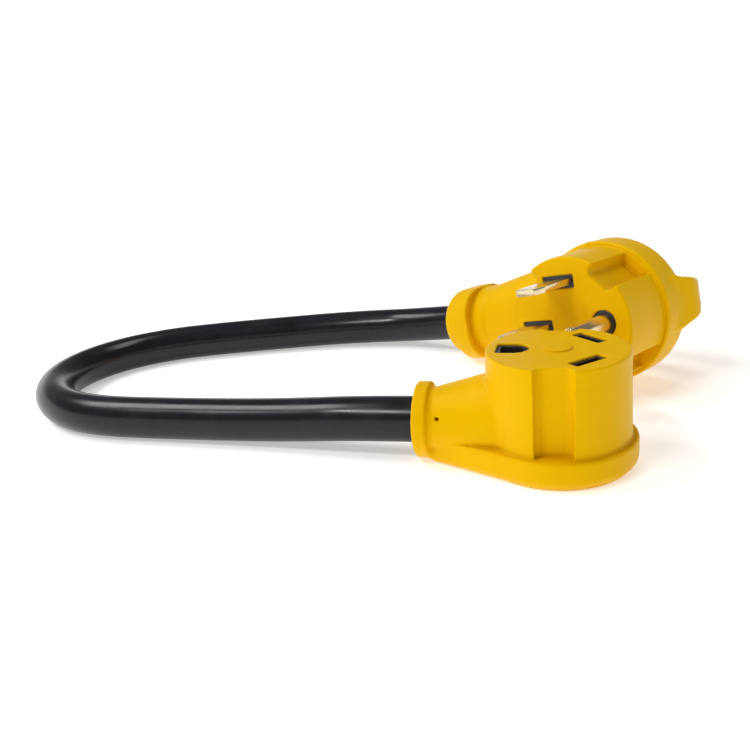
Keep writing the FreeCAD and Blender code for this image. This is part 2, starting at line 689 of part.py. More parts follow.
def plug_moulding(carrier):
    """The yellow moulding round the plug's carrier and the cable's end."""
    shell = plug_shell()
    bore = add_cylinder("plug_cable_bore", "Dims.cable_diameter / 2 + Dims.fit_gap", "30",
                        ("Dims.jacket_start - Dims.fit_gap", "0", "-Dims.plug_axis_depth"), True)
    wires = add_cylinder("plug_core_bore", "Dims.jacket_bore / 2", "Dims.jacket_start - 9",
                         ("10", "0", "-Dims.plug_axis_depth"), True)
    windows = plug_insert_blocks("plug_window", "-Dims.plug_core_front - 1", "5")
    return cut("plug_moulding_body", shell, fused("plug_hollows", [bore, wires, carrier] + windows))


# ---------------------------------------------------------------- cable

def route_corners(points):
    """Each inner point of the route with its arc's radius: 0.45 of the shorter run over tan(half turn)."""
    corners = []
    for before, here, after in zip(points, points[1:], points[2:]):
        one, two = here - before, after - here
        turn = one.getAngle(two)
        corners.append((here, 0.45 * min(one.Length, two.Length) / math.tan(turn / 2), turn))
    return corners


def route_wire(points, corners):
    """Straight runs joined by tangent arcs, as one wire, with its length."""
    edges = []
    last = points[0]
    for index, (here, radius, turn) in enumerate(corners, start=1):
        reach = radius * math.tan(turn / 2)
        towards = (points[index - 1] - here).normalize()
        away = (points[index + 1] - here).normalize()
        start, end = here + towards * reach, here + away * reach
        middle = here + (towards + away).normalize() * (radius / math.cos(turn / 2) - radius)
        edges.append(Part.LineSegment(last, start).toShape())
        edges.append(Part.Arc(start, middle, end).toShape())
        last = end
    edges.append(Part.LineSegment(last, points[-1]).toShape())
    return Part.Wire(edges), sum(edge.Length for edge in edges)


def cross_frame(points):
    """Two directions square to the route's first run: level, and upwards."""
    along = (points[1] - points[0]).normalize()
    level = Vector(0, 0, 1).cross(along).normalize()
    return along, level, along.cross(level)


def carried(offset, points):
    """An offset from the route's centre, turned with the route from its first run to its last."""
    for before, here, after in zip(points, points[1:], points[2:]):
        turn = FreeCAD.Rotation(here - before, after - here)
        offset = turn.multVec(offset)
    return offset


def core_offset(points, name):
    """The offset of a core from the cable's centre at the plug's end."""
    _, level, upward = cross_frame(points)
    angle = math.radians(CORE_ANGLES[name])
    return (level * math.cos(angle) + upward * math.sin(angle)) * dim("core_offset")


def swept(points, corners, radius, offset):
    """A round rod along the route, its centre held at an offset from the route's own line."""
    wire, _ = route_wire(points, corners)
    along, _, _ = cross_frame(points)
    profile = Part.Wire([Part.Circle(points[0] + offset, along, radius).toShape()])
    return wire.makePipeShell([profile], True, False)


def add_shape(name, shape):
    """A sub-part whose shape is worked out from the route."""
    item = document.addObject("Part::Feature", name)
    item.Shape = shape
    item.Label = name
    return item


def rod(points, corners, radius, offset, label):
    """A swept rod, checked against its section times its length."""
    shape = swept(points, corners, radius, offset)
    _, length = route_wire(points, corners)
    share = shape.Volume / (math.pi * radius * radius * length)
    print(f"{label}: volume / (section x length) = {share:.4f}")
    return shape


def cable_parts(points):
    """The jacket, the wrap, three fillers and three cores, each insulation over its copper."""
    corners = route_corners(points)
    centre = Vector(0, 0, 0)
    for here, radius, turn in corners:
        print(f"bend at ({here.x:.0f}, {here.y:.0f}): radius {radius:.1f}, turn {math.degrees(turn):.0f} deg")
    _, length = route_wire(points, corners)
    print(f"cable length inside the jacket {length:.1f}")
    outer = rod(points, corners, dim("cable_diameter") / 2, centre, "jacket")
    bore = swept(points, corners, dim("jacket_bore") / 2, centre)
    wrap_inner = swept(points, corners, dim("jacket_bore") / 2 - dim("wrap_thickness"), centre)
    parts = [add_shape("cable_jacket", outer.cut(bore)), add_shape("core_wrap", bore.cut(wrap_inner))]
    _, level, upward = cross_frame(points)
    for number in range(3):
        angle = math.radians(30 + 120 * number)
        offset = (level * math.cos(angle) - upward * math.sin(angle)) * -dim("filler_offset")
        shape = swept(points, corners, dim("filler_diameter") / 2, offset)
        parts.append(add_shape(f"filler_cord_{number + 1}", shape))
    return parts


def core_parts(points, name):
    """One core: copper from crimp to crimp, and its insulation between the crimps."""
    offset = core_offset(points, name)
    corners = route_corners(points)
    plug_along = (points[0] - points[1]).normalize()
    socket_along = (points[-1] - points[-2]).normalize()
    in_plug = jacket_end_depth(points) - PLUG_CRIMPS[name]
    in_socket = SOCKET_CRIMPS[name] - points[-1].x
    ends = {}
    for piece, short in (("copper", 0.6), ("insulation", dim("crimp_length"))):
        route = list(points)
        route[0] = points[0] + plug_along * (in_plug - short)
        route[-1] = points[-1] + socket_along * (in_socket - short - (0.6 if piece == "copper" else 0))
        ends[piece] = route
    copper = swept(ends["copper"], corners, dim("copper_diameter") / 2, offset)
    cover = swept(ends["insulation"], corners, dim("core_diameter") / 2, offset)
    hole = swept(ends["insulation"], corners, dim("copper_diameter") / 2, offset)
    return [add_shape(f"{name}_conductor", copper), add_shape(f"{name}_insulation", cover.cut(hole))]


def jacket_end_depth(points):
    """How far along the plug's own x axis the jacket's end lies."""
    return plug_placement().inverse().multVec(points[0]).x


# ---------------------------------------------------------------- assembly

def crimp_points(points):
    """Where each core meets its crimp, in the plug's frame and in the socket's."""
    inside = plug_placement().inverse()
    plug, socket = {}, {}
    for name in CORE_ANGLES:
        offset = core_offset(points, name)
        local = inside.Rotation.multVec(offset)
        plug[name] = (PLUG_CRIMPS[name], local.y, local.z - dim("plug_axis_depth"))
        final = carried(offset, points)
        socket[name] = (SOCKET_CRIMPS[name], final.y, final.z + dim("socket_axis_height"))
    return plug, socket


def build():
    """Makes every sub-part and returns the objects to write."""
    fill_sheet()
    points = [Vector(*place) for place in ROUTE]
    plug_crimps, socket_crimps = crimp_points(points)
    solid, carrier = socket_carrier()
    finished = [carrier, socket_moulding(solid)]
    for name, side, turn in (("line", "-1", "Dims.slot_turn_deg"), ("neutral", "1", "-Dims.slot_turn_deg")):
        finished.append(socket_blade_contact(f"socket_{name}_contact", side, turn, socket_crimps[name]))
    finished.append(socket_ground_contact(socket_crimps["ground"]))
    conductors = plug_conductors(plug_crimps)
    plug_solid, plug_holder = plug_carrier(list(conductors.values()))
    plug_cover = plug_moulding(plug_solid)
    finished.append(laid_down("plug_blade_carrier", plug_holder))
    finished.append(laid_down("plug_overmould", plug_cover))
    for name, item in conductors.items():
        finished.append(laid_down(name, item))
    finished += cable_parts(points)
    for name in CORE_ANGLES:
        finished += core_parts(points, name)
    document.recompute()
    return finished


def check(finished):
    """Stops if any object failed to compute or any sub-part isn't one sound solid."""
    for item in document.Objects:
        if "Invalid" in item.State or "Error" in item.State:
            raise RuntimeError(f"{item.Name} ({item.Label}) failed: {item.State}")
    for item in finished:
        shape = item.Shape
        if shape.isNull() or not shape.isValid():
            raise RuntimeError(f"{item.Label} has no valid shape")
        box = shape.optimalBoundingBox()
        print(f"{item.Label}: {len(shape.Solids)} solid(s), {shape.Volume / 1000:.2f} cm3,"
              f" z {box.ZMin:.2f} to {box.ZMax:.2f}")


def write(finished):
    """Writes each sub-part to its own STEP file, named by its label."""
    os.makedirs("parts", exist_ok=True)
    for item in finished:
        item.Shape.exportStep(f"parts/{item.Label}.step")


parts_made = build()
check(parts_made)
write(parts_made)
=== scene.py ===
"""Dogbone power adapter: how it looks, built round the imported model.

The row frame is in metres, +Z up, with its origin at the centre of the socket's base. The two yellow
mouldings are worked out in millimetres, the socket in the row frame and the plug in its own frame (face at
z = 0, blades towards +z, cable leaving along +x), as fields that are negative inside the solid.
"""
import itertools
import json
import math

import bmesh
import bpy
import numpy as np
from mathutils import Matrix, Vector


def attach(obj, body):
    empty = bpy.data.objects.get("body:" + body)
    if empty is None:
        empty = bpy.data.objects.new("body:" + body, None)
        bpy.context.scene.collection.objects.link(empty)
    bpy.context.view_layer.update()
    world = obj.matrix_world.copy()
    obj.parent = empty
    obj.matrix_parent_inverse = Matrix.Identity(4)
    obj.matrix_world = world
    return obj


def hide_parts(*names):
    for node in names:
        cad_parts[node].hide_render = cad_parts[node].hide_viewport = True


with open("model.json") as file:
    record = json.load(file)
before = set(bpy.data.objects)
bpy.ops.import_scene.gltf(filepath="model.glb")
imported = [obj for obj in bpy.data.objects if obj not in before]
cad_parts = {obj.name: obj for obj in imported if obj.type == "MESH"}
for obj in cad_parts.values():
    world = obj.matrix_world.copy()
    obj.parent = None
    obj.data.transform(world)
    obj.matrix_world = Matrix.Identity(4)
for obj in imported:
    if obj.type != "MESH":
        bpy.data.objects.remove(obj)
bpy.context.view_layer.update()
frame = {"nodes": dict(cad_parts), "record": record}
MM = 0.001
TINY = 1e-9

# The cable's route, in metres, from inside the plug's barrel to inside the socket's collar.
ROUTE = [
    (-0.03631, 0.1091, 0.01834),
    (-0.07012, 0.12901, 0.01057),
    (-0.111, 0.1303, 0.0088),
    (-0.1455, 0.1225, 0.00825),
    (-0.1755, 0.113, 0.00825),
    (-0.2, 0.103, 0.00825),
    (-0.219, 0.086, 0.00825),
    (-0.2285, 0.063, 0.00825),
    (-0.2255, 0.0385, 0.00825),
    (-0.21, 0.0183, 0.00825),
    (-0.187, 0.0074, 0.00825),
    (-0.148, 0.0066, 0.00825),
    (-0.105, 0.0049, 0.0094),
    (-0.064, 0.0, 0.0135),
    (-0.0325, 0.0, 0.0135),
]
CABLE_RADIUS = 8.25
JACKET_BORE_RADIUS = 5.75
WRAP_THICKNESS = 0.2
CORE_RADIUS = 2.5
COPPER_RADIUS = 1.5
CORE_OFFSET = 2.95
FILLER_RADIUS = 1.1
FILLER_OFFSET = 4.25
CORE_TURNS = 4
CORE_ANGLES = {"line": 210.0, "neutral": 330.0, "ground": 90.0}
# how far each core runs on past the jacket's end: into the plug, then into the socket
COPPER_REACH = {"line": (51.4, 28.3), "neutral": (43.4, 28.3), "ground": (63.4, 20.0)}
COVER_REACH = {"line": (45.0, 22.5), "neutral": (37.0, 22.5), "ground": (57.0, 14.2)}


# ---------------------------------------------------------------- solids as fields, in millimetres

def joined(a, b, radius):
    """Two solids as one, with an inside corner of this radius where they meet."""
    rounding = np.hypot(np.maximum(radius - a, 0), np.maximum(radius - b, 0))
    return np.maximum(radius, np.minimum(a, b)) - rounding


def shared(a, b, radius):
    """What two solids have in common, with an outside edge of this radius."""
    return -joined(-a, -b, radius)


def carved(a, b, radius):
    """A solid with another taken out of it, its edge rounded."""
    return shared(a, -b, radius)


def slab(value, low, high):
    """The space between two parallel planes."""
    return np.maximum(low - value, value - high)


def oblong(x, y, half_x, half_y, corner):
    """A rectangle about the origin with rounded corners, as a distance."""
    u, v = np.abs(x) - half_x + corner, np.abs(y) - half_y + corner
    return np.hypot(np.maximum(u, 0), np.maximum(v, 0)) + np.minimum(np.maximum(u, v), 0) - corner


def turned(x, y, degrees):
    """Two coordinates as they read in axes turned about the origin."""
    c, s = math.cos(math.radians(degrees)), math.sin(math.radians(degrees))
    return c * x + s * y, c * y - s * x


def rounded_path(corners, steps=10):
    """Points along straight runs joined by arcs, from (x, z, radius) corners."""
    points = [Vector(corners[0][:2])]
    for before, here, after in zip(corners, corners[1:], corners[2:]):
        centre = Vector(here[:2])
        one = (Vector(before[:2]) - centre).normalized()
        two = (Vector(after[:2]) - centre).normalized()
        half = one.angle(two) / 2
        middle = centre + (one + two).normalized() * here[2] / math.sin(half)
        start = centre + one * here[2] / math.tan(half)
        sweep = (start - middle).angle_signed(centre + two * here[2] / math.tan(half) - middle)
        for step in range(steps + 1):
            points.append(middle + Matrix.Rotation(-sweep * step / steps, 2) @ (start - middle))
    return points + [Vector(corners[-1][:2])]


def path_distance(x, z, points):
    """The distance in a plane to a line through points."""
    nearest = np.full(np.broadcast(x, z).shape, 1e9)
    for a, b in zip(points, points[1:]):
        run = b - a
        share = np.clip(((x - a.x) * run.x + (z - a.y) * run.y) / run.length_squared, 0, 1)
        nearest = np.minimum(nearest, np.hypot(x - a.x - share * run.x, z - a.y - share * run.y))
    return nearest


# ---------------------------------------------------------------- from a field to a mesh

LEAST_STEEPNESS = 0.05
# how far out along the normal to look when measuring how closed in the surface is, for the painted shade in
# recesses
RECESS_REACH = 2.5


def cell_corners(inside):
    """How many of each grid cell's eight corners are inside the solid."""
    count = np.zeros([n - 1 for n in inside.shape], np.int8)
    for i, j, k in itertools.product((0, 1), repeat=3):
        count += inside[i:i + count.shape[0], j:j + count.shape[1], k:k + count.shape[2]]
    return count


def cell_faces(inside, numbers):
    """A quad round each grid edge that crosses the surface, facing outwards."""
    faces = []
    for axis in range(3):
        low = np.take(inside, range(inside.shape[axis] - 1), axis)
        high = np.take(inside, range(1, inside.shape[axis]), axis)
        for flips, outwards in ((low & ~high, True), (~low & high, False)):
            at = np.argwhere(flips)
            u, v = np.zeros(3, int), np.zeros(3, int)
            u[(axis + 1) % 3] = 1
            v[(axis + 2) % 3] = 1
            ring = [at - u - v, at - v, at, at - u]
            if not outwards:
                ring.reverse()
            faces.append(np.stack([numbers[tuple(cell.T)] for cell in ring], axis=1))
    return np.concatenate(faces)


def slopes(field, points, reach=0.02):
    """The field's value and gradient at points."""
    value = field(*points.T)
    parts = []
    for axis in range(3):
        shift = np.zeros(3)
        shift[axis] = reach
        parts.append((field(*(points + shift).T) - field(*(points - shift).T)) / (2 * reach))
    return value, np.stack(parts, axis=1)


def settled(field, points, step):
    """Points moved onto the surface along the field's slope."""
    for _ in range(2):
        value, slope = slopes(field, points)
        steepness = np.maximum((slope ** 2).sum(1), LEAST_STEEPNESS)
        move = -slope * (value / steepness)[:, None]
        length = np.maximum(np.linalg.norm(move, axis=1), TINY)
        points = points + move * np.minimum(1, step / length)[:, None]
    return points


def relaxed(points, faces):
    """Points moved to the middle of their neighbours, for even faces."""
    pairs = np.concatenate([faces[:, [i, (i + 1) % 4]] for i in range(4)])
    total = np.zeros_like(points)
    for axis in range(3):
        total[:, axis] = np.bincount(pairs[:, 0], points[pairs[:, 1], axis], len(points))
    count = np.bincount(pairs[:, 0], minlength=len(points))
    return total / np.maximum(count, 1)[:, None]


def moulded(name, field, low, high, step, place):
    """A mesh object on a field's surface, with its shading and its depth of recess read from the field, the
    latter kept as an attribute that paints shade into the recesses.
    """
    low, high = np.array(low, float), np.array(high, float)
    counts = np.ceil((high - low) / step).astype(int) + 1
    axes = [low[i] + step * np.arange(counts[i]) for i in range(3)]
    inside = field(*np.meshgrid(*axes, indexing="ij", sparse=True)) < 0
    corners = cell_corners(inside)
    cells = np.argwhere((corners > 0) & (corners < 8))
    numbers = np.full(corners.shape, -1)
    numbers[tuple(cells.T)] = np.arange(len(cells))
    faces = cell_faces(inside, numbers)
    points = settled(field, low + step * (cells + 0.5), step)
    for _ in range(3):
        points = settled(field, relaxed(points, faces), step)
    _, slope = slopes(field, points)
    normals = slope / np.maximum(np.linalg.norm(slope, axis=1), TINY)[:, None]
    # painted shade: how closed in each point is, from the field's value a little way out along its normal;
    # the yellow is darkened by this share
    clearance = field(*(points + normals * RECESS_REACH).T)
    recess_shade = np.clip((RECESS_REACH - clearance) / RECESS_REACH, 0, 1)
    mesh = bpy.data.meshes.new(name)
    turn, start = np.array(place.to_3x3()), np.array(place.translation)
    mesh.from_pydata((points * MM @ turn.T + start).tolist(), [], faces.tolist())
    mesh.polygons.foreach_set("use_smooth", [True] * len(faces))
    mesh.normals_split_custom_set_from_vertices((normals @ turn.T).tolist())
    depth = mesh.attributes.new("recess_shade", "FLOAT", "POINT")
    depth.data.foreach_set("value", recess_shade)
    piece = bpy.data.objects.new(name, mesh)
    bpy.context.collection.objects.link(piece)
    return piece


# ---------------------------------------------------------------- the socket's moulding

# levels above the floor, places along x, and radii
SOCKET_AXIS = 13.5
SOCKET_TOP = 39.9
SOCKET_BASE_TOP = 10.0
COLLAR_OUTER = -48.5
COLLAR_INNER = -43.5
SOCKET_JACKET_END = -32.5
SOCKET_CARRIER_RADIUS = 19.0
PIN_HOLE_RADIUS = 0.65


def socket_base(x, y, z):
    """The foot: round at the front, drawn in by two tangents to the collar."""
    radius, end, half = 26.6, -COLLAR_INNER, 8.5
    top_edge, floor_edge = 0.9, 4.0
    lean = math.acos(radius / math.hypot(end, half)) + math.atan2(half, end)
    touch = Vector((-radius * math.cos(lean), radius * math.sin(lean)))
    along = (Vector((-end, half)) - touch).normalized()
    side = np.abs(y)
    ahead = (x - touch.x) * along.x + (side - touch.y) * along.y
    straight = (x * touch.x + side * touch.y) / radius - radius
    outline = np.where(ahead > 0, straight, np.hypot(x, y) - radius)
    outline = shared(outline, -end - x, 0.3)
    return shared(shared(outline, z - SOCKET_BASE_TOP, top_edge), -z, floor_edge)


def socket_drum(x, y, z):
    """The drum with its slight draft and its two finger grooves."""
    radius = 24.6 - math.tan(math.radians(1.2)) * z
    groove_half, groove_floor = 6.2, 20.0
    drum = shared(np.hypot(x, y) - radius, z - SOCKET_TOP, 0.7)
    groove = shared(np.abs(x) - groove_half, groove_floor - np.abs(y), 3.0)
    groove = shared(groove, SOCKET_BASE_TOP - z, 0.4)
    return carved(drum, groove, 0.45)


def socket_neck(x, y, z):
    """The cone from the drum down to the collar."""
    length, growth, rise = 35.5, 8.3, 2.0
    share = np.clip((x - COLLAR_INNER) / length, -0.2, 1.2)
    radius = 11.2 + growth * share
    level = SOCKET_AXIS + rise * share
    cone = (np.hypot(y, z - level) - radius) * 0.97
    return np.maximum(cone, slab(x, -45.0, -5.0))


def socket_windows(x, y, z):
    """The openings in the face for the black inserts."""
    floor = 33.5
    slot_x, slot_y = 10.0, 12.0
    flat = np.hypot(x + 14.2, y) - 5.0
    windows = joined(flat, oblong(x + 17.2, y, 3.0, 5.0, 1.2), 0.05)
    for side in (1, -1):
        u, v = turned(x - slot_x, y - side * slot_y, -side * 45.0)
        windows = np.minimum(windows, oblong(u, v, 6.5, 2.3, 0.4))
    return np.maximum(windows, floor - z)


def socket_hollow(x, y, z):
    """The space for the carrier, the cable and its cores."""
    reach = np.hypot(y, z - SOCKET_AXIS)
    hollow = np.maximum(np.hypot(x, y) - SOCKET_CARRIER_RADIUS, slab(z, 4.0, 34.5))
    cores = np.maximum(reach - JACKET_BORE_RADIUS, slab(x, SOCKET_JACKET_END - 0.5, -10.0))
    cable = np.maximum(reach - CABLE_RADIUS, slab(x, COLLAR_OUTER - 11.5, SOCKET_JACKET_END))
    return np.minimum(np.minimum(hollow, cores), cable)


def socket_field(x, y, z):
    """The whole moulding of the socket end."""
    reach = np.hypot(y, z - SOCKET_AXIS)
    body = joined(socket_drum(x, y, z), socket_neck(x, y, z), 1.2)
    body = joined(body, socket_base(x, y, z), 0.35)
    collar = shared(reach - 13.5, slab(x, COLLAR_OUTER, COLLAR_INNER), 0.9)
    body = joined(body, collar, 2.0)
    boss = shared(np.hypot(x, y) - 4.9, slab(z, 30.0, SOCKET_TOP + 0.7), 0.35)
    body = joined(body, boss, 0.25)
    pin_hole = np.hypot(x + 39.5, z - SOCKET_AXIS - 4.5) - PIN_HOLE_RADIUS
    body = carved(body, pin_hole, 0.15)
    body = carved(body, socket_windows(x, y, z), 0.3)
    body = carved(body, socket_hollow(x, y, z), 0.3)
    return np.maximum(body, -z)


# ---------------------------------------------------------------- the plug's moulding

# levels from the face, a place along x, and a radius
PLUG_AXIS = -26.0
RIM_FRONT = -25.0
HANDLE_LEVEL = -60.35
PLUG_JACKET_START = 60.0
PLUG_CARRIER_RADIUS = 21.0


def plug_head(x, y, z):
    """The round head with four finger grooves, its wider rim and its domed back."""
    reach = np.hypot(x, y)
    front = shared(reach - 27.3, slab(z, -32.0, 0.0), 0.8)
    u, v = turned(x, y, 45.0)
    far, near = np.maximum(np.abs(u), np.abs(v)), np.minimum(np.abs(u), np.abs(v))
    groove_half, groove_floor = 6.3, 22.1
    groove = shared(shared(near - groove_half, groove_floor - far, 2.6), RIM_FRONT - z, 0.8)
    front = carved(front, groove, 0.5)
    rim = shared(shared(reach - 29.2, -44.5 - z, 9.0), z - RIM_FRONT, 1.2)
    return joined(front, rim, 0.7)


def plug_neck(x, y, z):
    """The neck, oval at the head and round at the barrel."""
    start, length = 8.0, 48.0
    share = np.clip((x - start) / length, -0.1, 1.1)
    wide, deep = 25.0 - 9.9 * share, 14.5 + 0.6 * share
    oval = (np.hypot(y / wide, (z - PLUG_AXIS) / deep) - 1) * deep
    return np.maximum(oval, slab(x, 4.0, 60.0))


def plug_barrel(x, y, z):
    """The barrel that grips the cable, with its proud band."""
    level = z - PLUG_AXIS
    radius = 15.6 - 0.014 * (x - 56.0)
    barrel = shared(np.hypot(y, level) - radius, slab(x, 50.0, 77.0), 4.2)
    band = oblong(y, level - 1.5, 16.4, 17.3, 13.0)
    band = shared(band, slab(x, 59.0, 67.0), 0.8)
    return joined(barrel, band, 0.5)


LARGE_LOOP = rounded_path([(-25.0, -34.0), (-29.0, -44.0, 5.0), (-21.5, HANDLE_LEVEL, 12.0),
                           (28.0, HANDLE_LEVEL, 5.5), (29.6, -38.0)])
SMALL_LOOP = rounded_path([(29.6, -38.0), (31.2, HANDLE_LEVEL, 5.5), (51.0, HANDLE_LEVEL, 13.0),
                           (63.6, -46.0, 6.0), (63.6, -34.0)])


def plug_handle(x, y, z):
    """The pull handle: one flat strap bent into two finger loops, wider where it leaves the rim."""
    half_thickness, half_width, widest_flare = 3.15, 6.5, 4.5
    strap = np.minimum(path_distance(x, z, LARGE_LOOP), path_distance(x, z, SMALL_LOOP)) - half_thickness
    flare = widest_flare * np.clip((z + 56.0) / 20.0, 0, 1) ** 2 * np.clip((-10.0 - x) / 8.0, 0, 1)
    return shared(strap, np.abs(y) - half_width - flare, 1.8)


def plug_windows(x, y, z):
    """The openings in the face for the black inserts."""
    windows = np.hypot(x + 15.7, y) - 5.1
    for centre, side in ((1.8, -17.46), (1.8, 17.46), (14.6, 0.0)):
        windows = np.minimum(windows, oblong(x - centre, y - side, 6.9, 2.5, 0.5))
    return np.maximum(windows, -7.0 - z)


def plug_hollow(x, y, z):
    """The space for the carrier, the cable and its cores."""
    reach = np.hypot(y, z - PLUG_AXIS)
    hollow = np.maximum(np.hypot(x, y) - PLUG_CARRIER_RADIUS, slab(z, -36.0, -6.0))
    cores = np.maximum(reach - JACKET_BORE_RADIUS, slab(x, 10.0, PLUG_JACKET_START + 0.5))
    cable = np.maximum(reach - CABLE_RADIUS, slab(x, PLUG_JACKET_START, 99.0))
    return np.minimum(np.minimum(hollow, cores), cable)


def plug_field(x, y, z):
    """The whole moulding of the plug end."""
    body = joined(plug_head(x, y, z), plug_neck(x, y, z), 3.0)
    body = joined(body, plug_barrel(x, y, z), 0.8)
    body = joined(body, plug_handle(x, y, z), 1.2)
    pin_holes = np.hypot(x - 70.0, np.abs(z - PLUG_AXIS) - 6.0) - PIN_HOLE_RADIUS
    pin_holes = np.maximum(pin_holes, 10.0 - y)
    body = carved(body, pin_holes, 0.15)
    body = carved(body, plug_windows(x, y, z), 0.3)
    return carved(body, plug_hollow(x, y, z), 0.4)


def plug_place():
    """The plug's own frame, read from the record's mounts."""
    mounts = {mount["name"]: mount for mount in frame["record"]["mounts"]}
    face = Vector(mounts["plug_blades"]["pos_m"])
    outwards = Vector(mounts["plug_blades"]["axis"]).normalized()
    pin = Vector(mounts["ground_pin_end"]["pos_m"]) - face
    along = -(pin - outwards * pin.dot(outwards)).normalized()
    place = Matrix((along, outwards.cross(along), outwards)).transposed().to_4x4()
    place.translation = face
    return place


# ---------------------------------------------------------------- the cable

def route_line():
    """Points along the smooth line through the route, in metres."""
    curve = bpy.data.curves.new("route_line", "CURVE")
    curve.dimensions = "3D"
    spline = curve.splines.new("NURBS")
    spline.points.add(len(ROUTE) - 1)
    for point, place in zip(spline.points, ROUTE):
        point.co = (*place, 1.0)
    spline.order_u = 3
    spline.use_endpoint_u = True
    spline.resolution_u = 16
    holder = bpy.data.objects.new("route_line", curve)
    bpy.context.collection.objects.link(holder)
    mesh = bpy.data.meshes.new_from_object(holder.evaluated_get(bpy.context.evaluated_depsgraph_get()))
    points = [vertex.co.copy() for vertex in mesh.vertices]
    bpy.data.objects.remove(holder)
    bpy.data.meshes.remove(mesh)
    return points


def carried_frames(points):
    """At each point, the direction of the line and two directions square to it that turn only with it."""
    frames = []
    along = (points[1] - points[0]).normalized()
    level = Vector((0, 0, 1)).cross(along).normalized()
    for index, point in enumerate(points):
        before, after = points[max(index - 1, 0)], points[min(index + 1, len(points) - 1)]
        ahead = (after - before).normalized()
        level = along.rotation_difference(ahead) @ level
        level = (level - ahead * level.dot(ahead)).normalized()
        along = ahead
        frames.append((point, level, ahead.cross(level)))
    return frames


def ring(centre, level, upward, radius, sides):
    """A circle of points round a centre."""
    points = []
    for side in range(sides):
        angle = 2 * math.pi * side / sides
        points.append(centre + (level * math.cos(angle) + upward * math.sin(angle)) * radius)
    return points


def tube(name, points, radius, bore=0.0, sides=48):
    """A smooth rod along points, or a pipe where it has a bore; sizes in millimetres."""
    mesh = bmesh.new()
    frames = carried_frames(points)
    walls = []
    for size in (radius, bore):
        if size:
            circles = [ring(*spot, size * MM, sides) for spot in frames]
            walls.append([[mesh.verts.new(place) for place in circle] for circle in circles])
    for inner, rings in enumerate(walls):
        for one, two in zip(rings, rings[1:]):
            for side in range(sides):
                corners = [one[side], one[(side + 1) % sides], two[(side + 1) % sides], two[side]]
                mesh.faces.new(reversed(corners) if inner else corners).smooth = True
    for end in (0, -1):
        if bore:
            outer, inner = walls[0][end], walls[1][end]
            for side in range(sides):
                after = (side + 1) % sides
                corners = [outer[side], inner[side], inner[after], outer[after]]
                mesh.faces.new(corners if end == 0 else reversed(corners))
        else:
            mesh.faces.new(walls[0][end][::-1] if end == 0 else walls[0][end])
    data = bpy.data.meshes.new(name)
    bmesh.ops.recalc_face_normals(mesh, faces=mesh.faces)
    mesh.to_mesh(data)
    mesh.free()
    piece = bpy.data.objects.new(name, data)
    bpy.context.collection.objects.link(piece)
    return piece


def laid_up(line, angle, offset, reach):
    """The path of a core or filler that winds round the cable's centre, straight past the jacket's ends."""
    frames = carried_frames(line)
    lengths = [0.0]
    for a, b in zip(line, line[1:]):
        lengths.append(lengths[-1] + (b - a).length)
    path = []
    for (centre, level, upward), length in zip(frames, lengths):
        share = length / lengths[-1]
        turn = math.radians(angle) + 2 * math.pi * CORE_TURNS * share * share * (3 - 2 * share)
        path.append(centre + (level * math.cos(turn) + upward * math.sin(turn)) * offset * MM)
    start = (line[0] - line[1]).normalized() * reach[0] * MM
    end = (line[-1] - line[-2]).normalized() * reach[1] * MM
    return [path[0] + start] + path + [path[-1] + end]


# ---------------------------------------------------------------- materials

def new_material(name, color, roughness, metallic=0.0):
    """A material with plain values on its shader's own sockets."""
    item = bpy.data.materials.new(name)
    item.use_nodes = True
    shader = item.node_tree.nodes["Principled BSDF"]
    shader.inputs["Base Color"].default_value = (*color, 1)
    shader.inputs["Roughness"].default_value = roughness
    shader.inputs["Metallic"].default_value = metallic
    return item, item.node_tree, shader


def add_noise(tree, scale, detail=3.0, stretch=None):
    """A noise over the object's own coordinates; stretch scales them first, along each axis."""
    where = tree.nodes.new("ShaderNodeTexCoord").outputs["Object"]
    if stretch:
        mapping = tree.nodes.new("ShaderNodeMapping")
        mapping.inputs["Scale"].default_value = stretch
        tree.links.new(where, mapping.inputs["Vector"])
        where = mapping.outputs["Vector"]
    noise = tree.nodes.new("ShaderNodeTexNoise")
    noise.inputs["Scale"].default_value = scale
    noise.inputs["Detail"].default_value = detail
    tree.links.new(where, noise.inputs["Vector"])
    return noise.outputs["Fac"]


def add_range(tree, value, low, high, from_low=0.3, from_high=0.7):
    """A value spread from one range to another."""
    node = tree.nodes.new("ShaderNodeMapRange")
    node.inputs["From Min"].default_value = from_low
    node.inputs["From Max"].default_value = from_high
    node.inputs["To Min"].default_value = low
    node.inputs["To Max"].default_value = high
    tree.links.new(value, node.inputs["Value"])
    return node.outputs["Result"]


def add_mix(tree, share, one, two):
    """A colour between two others, each a colour or another node's output."""
    node = tree.nodes.new("ShaderNodeMix")
    node.data_type = "RGBA"
    tree.links.new(share, node.inputs["Factor"])
    for socket, value in ((node.inputs["A"], one), (node.inputs["B"], two)):
        if isinstance(value, tuple):
            socket.default_value = (*value, 1)
        else:
            tree.links.new(value, socket)
    return node.outputs["Result"]


def add_bump(tree, shader, height, depth_mm, strength=1.0):
    """A fine relief of a real depth."""
    node = tree.nodes.new("ShaderNodeBump")
    node.inputs["Distance"].default_value = depth_mm * MM
    node.inputs["Strength"].default_value = strength
    tree.links.new(height, node.inputs["Height"])
    tree.links.new(node.outputs["Normal"], shader.inputs["Normal"])


